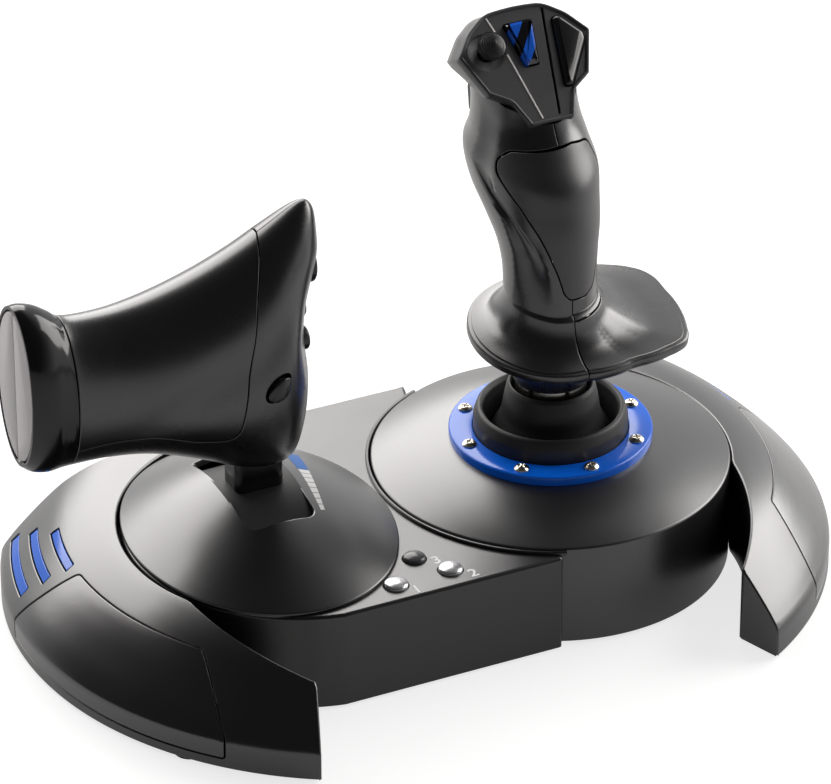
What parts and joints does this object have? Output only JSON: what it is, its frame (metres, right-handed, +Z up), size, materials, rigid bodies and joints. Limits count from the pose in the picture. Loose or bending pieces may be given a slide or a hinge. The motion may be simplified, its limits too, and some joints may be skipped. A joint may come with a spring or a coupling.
{
  "type": "flight joystick",
  "caption": "Desk flight joystick with a throttle unit on the left: a swinging hand lever through a slotted dome, and a tilting, twisting grip on a round base.",
  "frame": {"origin": "on the desk, under the middle of the outline", "axes": "+X to the player's right, along the two units; +Y away from the player; +Z up"},
  "size_m": [0.318, 0.1758, 0.2115],
  "materials": {
    "case_black": "fine satin grain",
    "gloss_black": "gloss",
    "accent_blue": "gloss",
    "screw_zinc": "zinc plated",
    "boot_rubber": "moulded",
    "foot_rubber": "matt",
    "shaft_metal": "satin",
    "spring_steel": "plain",
    "grip_black": "satin",
    "palm_black": "soft touch",
    "face_black": "fine matt",
    "stripe_gloss": "gloss over stripes",
    "button_silver": "silver paint",
    "button_dark": "satin",
    "frame_grey": "as moulded",
    "board_green": "solder mask",
    "ballast_iron": "raw"
  },
  "bodies": {
    "base": {"left_base_shell": "case_black", "right_base_shell": "case_black", "left_wing_shell": "case_black", "right_wing_shell": "case_black", "left_wing_cover": "gloss_black", "right_wing_cover": "gloss_black", "wing_inlays": "accent_blue", "feet": "foot_rubber", "case_screws": "screw_zinc", "left_bottom_cover": "case_black", "right_bottom_cover": "case_black", "dock_key": "case_black", "cable_gland": "boot_rubber", "dome_cover": "case_black", "pivot_ring": "accent_blue", "pivot_ring_screws": "screw_zinc", "boot_collar": "boot_rubber", "gimbal_frame": "frame_grey", "centring_spring": "spring_steel", "stick_board": "board_green", "throttle_board": "board_green", "ballast_plate": "ballast_iron", "bearing_frame": "frame_grey", "friction_washer": "frame_grey", "throttle_sensor": "frame_grey"},
    "yoke": {"pitch_yoke": "frame_grey"},
    "shaft": {"roll_cradle": "frame_grey", "shaft_tube": "shaft_metal", "boot_cone": "boot_rubber"},
    "grip": {"grip_left_shell": "grip_black", "grip_right_shell": "grip_black", "palm_panel": "palm_black", "hand_rest": "gloss_black", "head_housing": "face_black", "head_faceplate": "face_black", "grip_board": "board_green", "grip_screws": "screw_zinc"},
    "trigger": {"trigger": "gloss_black"},
    "hat_ring": {"hat_ring": "frame_grey"},
    "hat_cap": {"hat_cap": "button_dark"},
    "stripe_button": {"stripe_button": "stripe_gloss"},
    "teardrop_button": {"teardrop_button": "gloss_black"},
    "lever": {"throttle_arm": "case_black", "throttle_axle": "shaft_metal", "slot_shutter": "case_black", "handle_rear_panel": "grip_black", "handle_screws": "screw_zinc", "handle_rear_shell": "grip_black", "handle_front_shell": "grip_black", "handle_end_ring": "gloss_black", "handle_end_disc": "grip_black", "handle_board": "board_green"},
    "rocker": {"rocker": "grip_black"},
    "thumb_button_upper": {"thumb_button_upper": "button_dark"},
    "thumb_button_middle": {"thumb_button_middle": "button_dark"},
    "thumb_button_lower": {"thumb_button_lower": "button_dark"},
    "side_button": {"side_button": "button_dark"},
    "left_panel_button": {"left_panel_button": "button_silver"},
    "right_panel_button": {"right_panel_button": "button_silver"},
    "centre_panel_button": {"centre_panel_button": "button_dark"}
  },
  "joints": [
    {"name": "stick_pitch", "type": "hinge", "parent": "base", "child": "yoke", "pos_m": [0.053, 0.01715, 0.043], "axis": [1, 0, 0], "range_deg": [-13, 13], "stiffness_Nm_per_rad": 3, "deforming": ["centring_spring"]},
    {"name": "stick_roll", "type": "hinge", "parent": "yoke", "child": "shaft", "pos_m": [0.053, 0.01715, 0.043], "axis": [0, 1, 0], "range_deg": [-13, 13], "stiffness_Nm_per_rad": 3, "deforming": ["centring_spring"]},
    {"name": "stick_twist", "type": "hinge", "parent": "shaft", "child": "grip", "pos_m": [0.053, 0.01715, 0.075], "axis": [0, 0, 1], "range_deg": [-20, 20], "stiffness_Nm_per_rad": 0.8},
    {"name": "trigger_pull", "type": "hinge", "parent": "grip", "child": "trigger", "pos_m": [0.053, 0.05515, 0.182], "axis": [-1, 0, 0], "range_deg": [0, 10], "stiffness_Nm_per_rad": 0.3, "springref_deg": -5.73},
    {"name": "hat_tilt_up_down", "type": "hinge", "parent": "grip", "child": "hat_ring", "pos_m": [0.0378, 0.04526, 0.19713], "axis": [1, 0, 0], "range_deg": [-10, 10], "stiffness_Nm_per_rad": 0.05},
    {"name": "hat_tilt_left_right", "type": "hinge", "parent": "hat_ring", "child": "hat_cap", "pos_m": [0.0378, 0.04526, 0.19713], "axis": [0, 0.7559, 0.6547], "range_deg": [-10, 10], "stiffness_Nm_per_rad": 0.05},
    {"name": "stripe_button_press", "type": "slide", "parent": "grip", "child": "stripe_button", "axis": [0, 0.6547, -0.7559], "range_m": [0, 0.0012], "stiffness_N_per_m": 400, "springref_m": -0.001},
    {"name": "teardrop_button_press", "type": "slide", "parent": "grip", "child": "teardrop_button", "axis": [0, 0.6547, -0.7559], "range_m": [0, 0.0012], "stiffness_N_per_m": 400, "springref_m": -0.001},
    {"name": "throttle_swing", "type": "hinge", "parent": "base", "child": "lever", "pos_m": [-0.066, 0.02115, 0.014], "axis": [1, 0, 0], "range_deg": [-22, 22]},
    {"name": "rocker_tilt", "type": "hinge", "parent": "lever", "child": "rocker", "pos_m": [-0.106, 0.03115, 0.116], "axis": [0, 0, 1], "range_deg": [-7, 7], "stiffness_Nm_per_rad": 0.2},
    {"name": "thumb_button_upper_press", "type": "slide", "parent": "lever", "child": "thumb_button_upper", "axis": [-1, 0, 0], "range_m": [0, 0.0012], "stiffness_N_per_m": 400, "springref_m": -0.001},
    {"name": "thumb_button_middle_press", "type": "slide", "parent": "lever", "child": "thumb_button_middle", "axis": [-1, 0, 0], "range_m": [0, 0.0012], "stiffness_N_per_m": 400, "springref_m": -0.001},
    {"name": "thumb_button_lower_press", "type": "slide", "parent": "lever", "child": "thumb_button_lower", "axis": [-1, 0, 0], "range_m": [0, 0.0012], "stiffness_N_per_m": 400, "springref_m": -0.001},
    {"name": "side_button_press", "type": "slide", "parent": "lever", "child": "side_button", "axis": [0, 1, 0], "range_m": [0, 0.0012], "stiffness_N_per_m": 400, "springref_m": -0.001},
    {"name": "left_panel_button_press", "type": "slide", "parent": "base", "child": "left_panel_button", "axis": [0, 0, -1], "range_m": [0, 0.0012], "stiffness_N_per_m": 400, "springref_m": -0.001},
    {"name": "right_panel_button_press", "type": "slide", "parent": "base", "child": "right_panel_button", "axis": [0, 0, -1], "range_m": [0, 0.0012], "stiffness_N_per_m": 400, "springref_m": -0.001},
    {"name": "centre_panel_button_press", "type": "slide", "parent": "base", "child": "centre_panel_button", "axis": [0, 0, -1], "range_m": [0, 0.0012], "stiffness_N_per_m": 400, "springref_m": -0.001}
  ]
}
